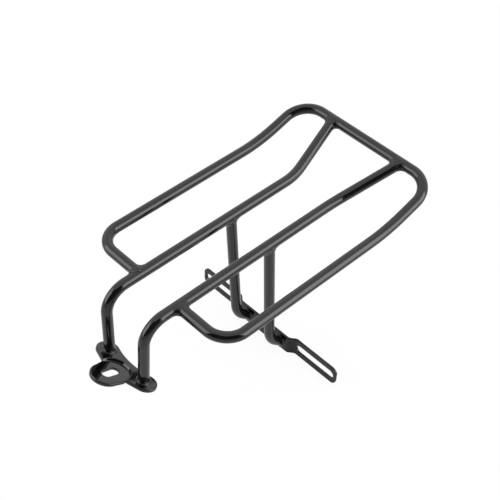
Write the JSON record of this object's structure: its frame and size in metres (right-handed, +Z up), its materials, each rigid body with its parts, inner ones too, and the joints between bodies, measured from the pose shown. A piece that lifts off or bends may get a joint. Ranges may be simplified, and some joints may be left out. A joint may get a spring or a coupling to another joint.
{
  "type": "luggage rack",
  "caption": "Motorcycle luggage rack of bent steel tube with a formed front plate and a slotted rear strap.",
  "frame": {"origin": "midway between the two slots of the rear strap, in the middle of the strap ends' thickness", "axes": "+X across the rack, toward the side that is nearer in the picture; +Y to the rear, along the deck; +Z up, square to the flat of the deck"},
  "size_m": [0.232, 0.4229, 0.2315],
  "materials": {
    "black_coat": "deep gloss black coating on steel"
  },
  "bodies": {
    "root": {"outer_hoop": "black_coat", "left_rail": "black_coat", "right_rail": "black_coat", "left_leg": "black_coat", "right_leg": "black_coat", "rear_strap": "black_coat", "front_plate": "black_coat", "left_hoop_weld": "black_coat", "right_hoop_weld": "black_coat", "left_rail_weld": "black_coat", "right_rail_weld": "black_coat", "left_leg_weld": "black_coat", "right_leg_weld": "black_coat", "left_foot_weld": "black_coat", "right_foot_weld": "black_coat", "left_strap_weld": "black_coat", "right_strap_weld": "black_coat"}
  },
  "joints": []
}
